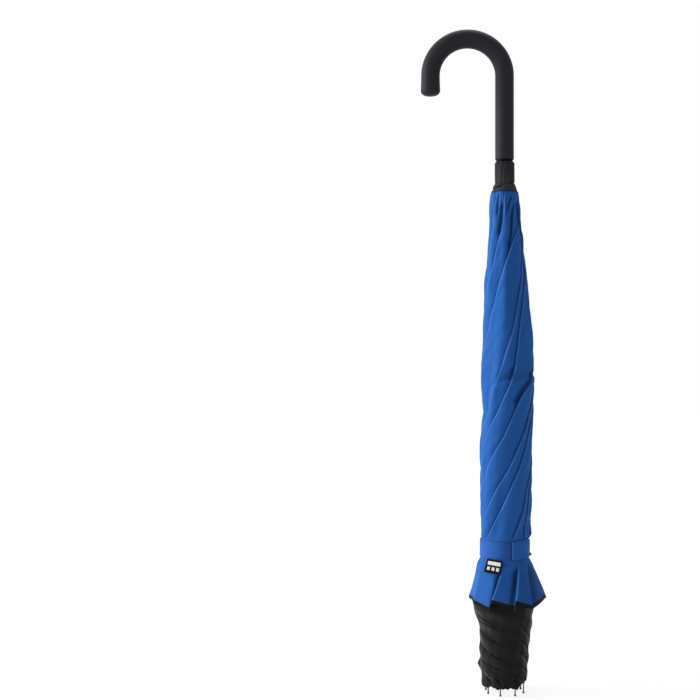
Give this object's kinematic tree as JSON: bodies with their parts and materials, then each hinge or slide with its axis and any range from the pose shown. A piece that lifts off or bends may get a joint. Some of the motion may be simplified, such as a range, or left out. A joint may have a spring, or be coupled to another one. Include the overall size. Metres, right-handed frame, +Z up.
{
  "type": "inverted umbrella",
  "caption": "Reversible stick umbrella, furled and strapped, with a blue lining outside, a black canopy inside and a crook handle; it stands on its rib tips and opens by its runner.",
  "frame": {"origin": "middle of the box's base, on the plane that the rib tips stand on", "axes": "+Z up along the shaft to the crook handle, -X the way the crook points, -Y the front with the strap's free end and the label"},
  "size_m": [0.1441, 0.091, 0.7782],
  "materials": {
    "soft_touch": "matt soft-touch coating",
    "black_plastic": "moulded, slightly satin",
    "shaft_steel": "plated tube",
    "black_steel": "black coated strip",
    "tip_metal": "dark nickel",
    "lining_cloth": "blue pongee weave",
    "canopy_cloth": "black pongee weave",
    "strap_cloth": "blue pongee, doubled and stitched",
    "label_cloth": "black woven tag with a plain pale pattern"
  },
  "bodies": {
    "shaft": {"shaft_tube": "shaft_steel", "handle_crook": "soft_touch", "crown": "black_plastic", "ferrule_cap": "black_plastic"},
    "catch": {"runner_catch": "black_steel"},
    "runner": {"runner_body": "black_plastic", "runner_collar": "canopy_cloth", "runner_sleeve": "canopy_cloth"},
    "rib_arm_1": {"rib_1": "black_steel", "rib_tip_1": "tip_metal"},
    "gore_1": {"lining_gore_1": "lining_cloth", "canopy_gore_1": "canopy_cloth"},
    "stretcher_arm_1": {"stretcher_1": "black_steel"},
    "inner_gore_1": {"canopy_inner_1": "canopy_cloth"},
    "rib_arm_2": {"rib_2": "black_steel", "rib_tip_2": "tip_metal", "closure_strap": "strap_cloth", "strap_loop": "canopy_cloth", "woven_label": "label_cloth"},
    "gore_2": {"lining_gore_2": "lining_cloth", "canopy_gore_2": "canopy_cloth"},
    "stretcher_arm_2": {"stretcher_2": "black_steel"},
    "inner_gore_2": {"canopy_inner_2": "canopy_cloth"},
    "rib_arm_3": {"rib_3": "black_steel", "rib_tip_3": "tip_metal"},
    "gore_3": {"lining_gore_3": "lining_cloth", "canopy_gore_3": "canopy_cloth"},
    "stretcher_arm_3": {"stretcher_3": "black_steel"},
    "inner_gore_3": {"canopy_inner_3": "canopy_cloth"},
    "rib_arm_4": {"rib_4": "black_steel", "rib_tip_4": "tip_metal"},
    "gore_4": {"lining_gore_4": "lining_cloth", "canopy_gore_4": "canopy_cloth"},
    "stretcher_arm_4": {"stretcher_4": "black_steel"},
    "inner_gore_4": {"canopy_inner_4": "canopy_cloth"},
    "rib_arm_5": {"rib_5": "black_steel", "rib_tip_5": "tip_metal"},
    "gore_5": {"lining_gore_5": "lining_cloth", "canopy_gore_5": "canopy_cloth"},
    "stretcher_arm_5": {"stretcher_5": "black_steel"},
    "inner_gore_5": {"canopy_inner_5": "canopy_cloth"},
    "rib_arm_6": {"rib_6": "black_steel", "rib_tip_6": "tip_metal"},
    "gore_6": {"lining_gore_6": "lining_cloth", "canopy_gore_6": "canopy_cloth"},
    "stretcher_arm_6": {"stretcher_6": "black_steel"},
    "inner_gore_6": {"canopy_inner_6": "canopy_cloth"},
    "rib_arm_7": {"rib_7": "black_steel", "rib_tip_7": "tip_metal"},
    "gore_7": {"lining_gore_7": "lining_cloth", "canopy_gore_7": "canopy_cloth"},
    "stretcher_arm_7": {"stretcher_7": "black_steel"},
    "inner_gore_7": {"canopy_inner_7": "canopy_cloth"},
    "rib_arm_8": {"rib_8": "black_steel", "rib_tip_8": "tip_metal"},
    "gore_8": {"lining_gore_8": "lining_cloth", "canopy_gore_8": "canopy_cloth"},
    "stretcher_arm_8": {"stretcher_8": "black_steel"},
    "inner_gore_8": {"canopy_inner_8": "canopy_cloth"},
    "flap": {"strap_flap": "strap_cloth"}
  },
  "joints": [
    {"name": "runner_slide", "type": "slide", "parent": "shaft", "child": "runner", "axis": [0, 0, -1], "range_m": [0, 0.37601]},
    {"name": "catch_press", "type": "slide", "parent": "shaft", "child": "catch", "axis": [0, -1, 0], "range_m": [0, 0.0022], "stiffness_N_per_m": 400},
    {"name": "rib_hinge_1", "type": "hinge", "parent": "runner", "child": "rib_arm_1", "pos_m": [0.01773, -0.00417, 0.5865], "axis": [-0.4384, 0.8988, 0], "range_deg": [0, 95.73]},
    {"name": "gore_spread_1", "type": "hinge", "parent": "rib_arm_1", "child": "gore_1", "pos_m": [0.01945, -0.0077, 0.5865], "axis": [-0.4636, -0.524, -0.7145], "range_deg": [0, 65.95], "deforming": ["lining_gore_1", "canopy_gore_1"]},
    {"name": "stretcher_hinge_1", "type": "hinge", "parent": "shaft", "child": "stretcher_arm_1", "pos_m": [0.018, -0.00403, 0.18049], "axis": [0.4384, -0.8988, 0], "range_deg": [0, 73.39]},
    {"name": "inner_spread_1", "type": "hinge", "parent": "stretcher_arm_1", "child": "inner_gore_1", "pos_m": [0.01967, -0.00746, 0.18049], "axis": [0.5458, 0.6169, -0.5671], "range_deg": [0, 52.88], "deforming": ["canopy_inner_1"]},
    {"name": "rib_hinge_2", "type": "hinge", "parent": "runner", "child": "rib_arm_2", "pos_m": [0.02317, -0.00898, 0.5865], "axis": [-0.9455, 0.3256, 0], "range_deg": [0, 95.73], "deforming": ["closure_strap"]},
    {"name": "gore_spread_2", "type": "hinge", "parent": "rib_arm_2", "child": "gore_2", "pos_m": [0.02689, -0.01026, 0.5865], "axis": [0.0427, -0.6983, -0.7145], "range_deg": [0, 65.95], "deforming": ["lining_gore_2", "canopy_gore_2"]},
    {"name": "stretcher_hinge_2", "type": "hinge", "parent": "shaft", "child": "stretcher_arm_2", "pos_m": [0.02327, -0.0087, 0.18049], "axis": [0.9455, -0.3256, 0], "range_deg": [0, 73.39]},
    {"name": "inner_spread_2", "type": "hinge", "parent": "stretcher_arm_2", "child": "inner_gore_2", "pos_m": [0.02687, -0.00994, 0.18049], "axis": [-0.0503, 0.8221, -0.5671], "range_deg": [0, 52.88], "deforming": ["canopy_inner_2"]},
    {"name": "rib_hinge_3", "type": "hinge", "parent": "runner", "child": "rib_arm_3", "pos_m": [0.03043, -0.00854, 0.5865], "axis": [-0.8988, -0.4384, 0], "range_deg": [0, 95.73]},
    {"name": "gore_spread_3", "type": "hinge", "parent": "rib_arm_3", "child": "gore_3", "pos_m": [0.03397, -0.00681, 0.5865], "axis": [0.524, -0.4636, -0.7145], "range_deg": [0, 65.95], "deforming": ["lining_gore_3", "canopy_gore_3"]},
    {"name": "stretcher_hinge_3", "type": "hinge", "parent": "shaft", "child": "stretcher_arm_3", "pos_m": [0.0303, -0.00827, 0.18049], "axis": [0.8988, 0.4384, 0], "range_deg": [0, 73.39]},
    {"name": "inner_spread_3", "type": "hinge", "parent": "stretcher_arm_3", "child": "inner_gore_3", "pos_m": [0.03372, -0.0066, 0.18049], "axis": [-0.6169, 0.5458, -0.5671], "range_deg": [0, 52.88], "deforming": ["canopy_inner_3"]},
    {"name": "rib_hinge_4", "type": "hinge", "parent": "runner", "child": "rib_arm_4", "pos_m": [0.03525, -0.00309, 0.5865], "axis": [-0.3256, -0.9455, 0], "range_deg": [0, 95.73]},
    {"name": "gore_spread_4", "type": "hinge", "parent": "rib_arm_4", "child": "gore_4", "pos_m": [0.03653, 0.00063, 0.5865], "axis": [0.6983, 0.0427, -0.7145], "range_deg": [0, 65.95], "deforming": ["lining_gore_4", "canopy_gore_4"]},
    {"name": "stretcher_hinge_4", "type": "hinge", "parent": "shaft", "child": "stretcher_arm_4", "pos_m": [0.03496, -0.00299, 0.18049], "axis": [0.3256, 0.9455, 0], "range_deg": [0, 73.39]},
    {"name": "inner_spread_4", "type": "hinge", "parent": "stretcher_arm_4", "child": "inner_gore_4", "pos_m": [0.0362, 0.00061, 0.18049], "axis": [-0.8221, -0.0503, -0.5671], "range_deg": [0, 52.88], "deforming": ["canopy_inner_4"]},
    {"name": "rib_hinge_5", "type": "hinge", "parent": "runner", "child": "rib_arm_5", "pos_m": [0.0348, 0.00417, 0.5865], "axis": [0.4384, -0.8988, 0], "range_deg": [0, 95.73]},
    {"name": "gore_spread_5", "type": "hinge", "parent": "rib_arm_5", "child": "gore_5", "pos_m": [0.03308, 0.0077, 0.5865], "axis": [0.4636, 0.524, -0.7145], "range_deg": [0, 65.95], "deforming": ["lining_gore_5", "canopy_gore_5"]},
    {"name": "stretcher_hinge_5", "type": "hinge", "parent": "shaft", "child": "stretcher_arm_5", "pos_m": [0.03453, 0.00403, 0.18049], "axis": [-0.4384, 0.8988, 0], "range_deg": [0, 73.39]},
    {"name": "inner_spread_5", "type": "hinge", "parent": "stretcher_arm_5", "child": "inner_gore_5", "pos_m": [0.03286, 0.00746, 0.18049], "axis": [-0.5458, -0.6169, -0.5671], "range_deg": [0, 52.88], "deforming": ["canopy_inner_5"]},
    {"name": "rib_hinge_6", "type": "hinge", "parent": "runner", "child": "rib_arm_6", "pos_m": [0.02936, 0.00898, 0.5865], "axis": [0.9455, -0.3256, 0], "range_deg": [0, 95.73]},
    {"name": "gore_spread_6", "type": "hinge", "parent": "rib_arm_6", "child": "gore_6", "pos_m": [0.02564, 0.01026, 0.5865], "axis": [-0.0427, 0.6983, -0.7145], "range_deg": [0, 65.95], "deforming": ["lining_gore_6", "canopy_gore_6"]},
    {"name": "stretcher_hinge_6", "type": "hinge", "parent": "shaft", "child": "stretcher_arm_6", "pos_m": [0.02926, 0.0087, 0.18049], "axis": [-0.9455, 0.3256, 0], "range_deg": [0, 73.39]},
    {"name": "inner_spread_6", "type": "hinge", "parent": "stretcher_arm_6", "child": "inner_gore_6", "pos_m": [0.02566, 0.00994, 0.18049], "axis": [0.0503, -0.8221, -0.5671], "range_deg": [0, 52.88], "deforming": ["canopy_inner_6"]},
    {"name": "rib_hinge_7", "type": "hinge", "parent": "runner", "child": "rib_arm_7", "pos_m": [0.0221, 0.00854, 0.5865], "axis": [0.8988, 0.4384, 0], "range_deg": [0, 95.73]},
    {"name": "gore_spread_7", "type": "hinge", "parent": "rib_arm_7", "child": "gore_7", "pos_m": [0.01856, 0.00681, 0.5865], "axis": [-0.524, 0.4636, -0.7145], "range_deg": [0, 65.95], "deforming": ["lining_gore_7", "canopy_gore_7"]},
    {"name": "stretcher_hinge_7", "type": "hinge", "parent": "shaft", "child": "stretcher_arm_7", "pos_m": [0.02223, 0.00827, 0.18049], "axis": [-0.8988, -0.4384, 0], "range_deg": [0, 73.39]},
    {"name": "inner_spread_7", "type": "hinge", "parent": "stretcher_arm_7", "child": "inner_gore_7", "pos_m": [0.01881, 0.0066, 0.18049], "axis": [0.6169, -0.5458, -0.5671], "range_deg": [0, 52.88], "deforming": ["canopy_inner_7"]},
    {"name": "rib_hinge_8", "type": "hinge", "parent": "runner", "child": "rib_arm_8", "pos_m": [0.01728, 0.00309, 0.5865], "axis": [0.3256, 0.9455, 0], "range_deg": [0, 95.73]},
    {"name": "gore_spread_8", "type": "hinge", "parent": "rib_arm_8", "child": "gore_8", "pos_m": [0.016, -0.00063, 0.5865], "axis": [-0.6983, -0.0427, -0.7145], "range_deg": [0, 65.95], "deforming": ["lining_gore_8", "canopy_gore_8"]},
    {"name": "stretcher_hinge_8", "type": "hinge", "parent": "shaft", "child": "stretcher_arm_8", "pos_m": [0.01757, 0.00299, 0.18049], "axis": [-0.3256, -0.9455, 0], "range_deg": [0, 73.39]},
    {"name": "inner_spread_8", "type": "hinge", "parent": "stretcher_arm_8", "child": "inner_gore_8", "pos_m": [0.01632, -0.00061, 0.18049], "axis": [0.8221, 0.0503, -0.5671], "range_deg": [0, 52.88], "deforming": ["canopy_inner_8"]},
    {"name": "strap_peel", "type": "hinge", "parent": "rib_arm_2", "child": "flap", "pos_m": [0.05436, -0.00049, 0.1694], "axis": [0, 0, 1], "range_deg": [0, 110]}
  ],
  "couplings": [
    {"joint": "rib_hinge_1", "follows": "runner_slide", "rad_per_m": 4.4436},
    {"joint": "gore_spread_1", "follows": "runner_slide", "rad_per_m": 3.061},
    {"joint": "stretcher_hinge_1", "follows": "runner_slide", "rad_per_m": 3.4065},
    {"joint": "inner_spread_1", "follows": "runner_slide", "rad_per_m": 2.4543},
    {"joint": "rib_hinge_2", "follows": "runner_slide", "rad_per_m": 4.4436},
    {"joint": "gore_spread_2", "follows": "runner_slide", "rad_per_m": 3.061},
    {"joint": "stretcher_hinge_2", "follows": "runner_slide", "rad_per_m": 3.4065},
    {"joint": "inner_spread_2", "follows": "runner_slide", "rad_per_m": 2.4543},
    {"joint": "rib_hinge_3", "follows": "runner_slide", "rad_per_m": 4.4436},
    {"joint": "gore_spread_3", "follows": "runner_slide", "rad_per_m": 3.061},
    {"joint": "stretcher_hinge_3", "follows": "runner_slide", "rad_per_m": 3.4065},
    {"joint": "inner_spread_3", "follows": "runner_slide", "rad_per_m": 2.4543},
    {"joint": "rib_hinge_4", "follows": "runner_slide", "rad_per_m": 4.4436},
    {"joint": "gore_spread_4", "follows": "runner_slide", "rad_per_m": 3.061},
    {"joint": "stretcher_hinge_4", "follows": "runner_slide", "rad_per_m": 3.4065},
    {"joint": "inner_spread_4", "follows": "runner_slide", "rad_per_m": 2.4543},
    {"joint": "rib_hinge_5", "follows": "runner_slide", "rad_per_m": 4.4436},
    {"joint": "gore_spread_5", "follows": "runner_slide", "rad_per_m": 3.061},
    {"joint": "stretcher_hinge_5", "follows": "runner_slide", "rad_per_m": 3.4065},
    {"joint": "inner_spread_5", "follows": "runner_slide", "rad_per_m": 2.4543},
    {"joint": "rib_hinge_6", "follows": "runner_slide", "rad_per_m": 4.4436},
    {"joint": "gore_spread_6", "follows": "runner_slide", "rad_per_m": 3.061},
    {"joint": "stretcher_hinge_6", "follows": "runner_slide", "rad_per_m": 3.4065},
    {"joint": "inner_spread_6", "follows": "runner_slide", "rad_per_m": 2.4543},
    {"joint": "rib_hinge_7", "follows": "runner_slide", "rad_per_m": 4.4436},
    {"joint": "gore_spread_7", "follows": "runner_slide", "rad_per_m": 3.061},
    {"joint": "stretcher_hinge_7", "follows": "runner_slide", "rad_per_m": 3.4065},
    {"joint": "inner_spread_7", "follows": "runner_slide", "rad_per_m": 2.4543},
    {"joint": "rib_hinge_8", "follows": "runner_slide", "rad_per_m": 4.4436},
    {"joint": "gore_spread_8", "follows": "runner_slide", "rad_per_m": 3.061},
    {"joint": "stretcher_hinge_8", "follows": "runner_slide", "rad_per_m": 3.4065},
    {"joint": "inner_spread_8", "follows": "runner_slide", "rad_per_m": 2.4543}
  ]
}
